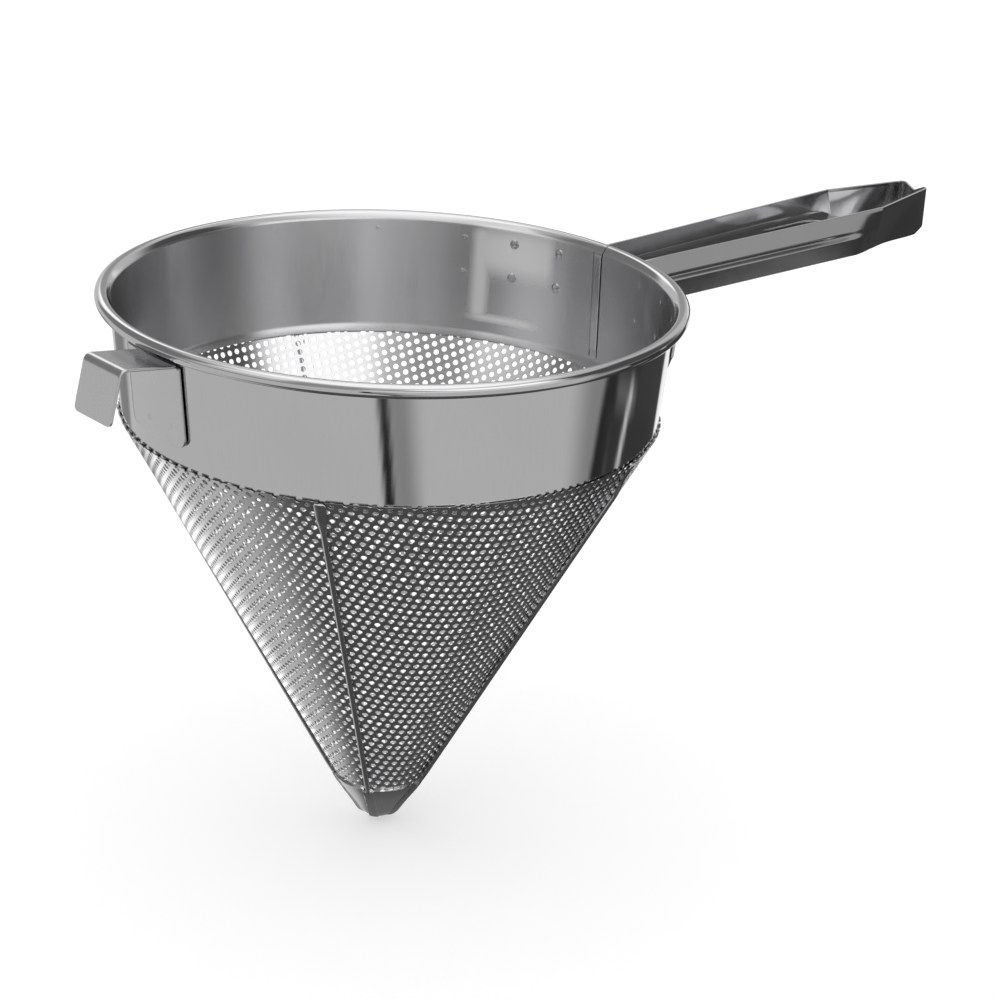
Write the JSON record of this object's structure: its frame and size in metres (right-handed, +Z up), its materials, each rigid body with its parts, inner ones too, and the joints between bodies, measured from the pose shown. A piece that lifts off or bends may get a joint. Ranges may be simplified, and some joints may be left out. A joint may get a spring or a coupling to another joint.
{
  "type": "chinois strainer",
  "caption": "Conical stainless steel strainer with a perforated cone, plain band, rolled rim, wire ribs, folded sheet handle with a hanging slot, and a pan hook.",
  "frame": {"origin": "Centre of the rim at the height of its crown.", "axes": "+Z up out of the mouth, along the cone's axis; +X along the handle, away from the bowl; the cone's tip points to -Z."},
  "size_m": [0.4922, 0.26, 0.2692],
  "materials": {
    "polished_sheet": "mirror polished stainless steel sheet",
    "handle_sheet": "polished stainless steel sheet, bent and welded",
    "perforated_sheet": "polished perforated stainless steel sheet",
    "pressed_cap": "polished pressed stainless steel",
    "wire": "drawn stainless steel wire, lightly polished"
  },
  "bodies": {
    "root": {"band": "polished_sheet", "rim_wire": "wire", "seam_strip": "polished_sheet", "cone_screen": "perforated_sheet", "tip_cap": "pressed_cap", "handle_strap": "handle_sheet", "handle_tray": "handle_sheet", "hook": "handle_sheet", "rib_1": "wire", "rib_2": "wire", "rib_3": "wire", "rib_4": "wire", "rib_5": "wire"}
  },
  "joints": []
}
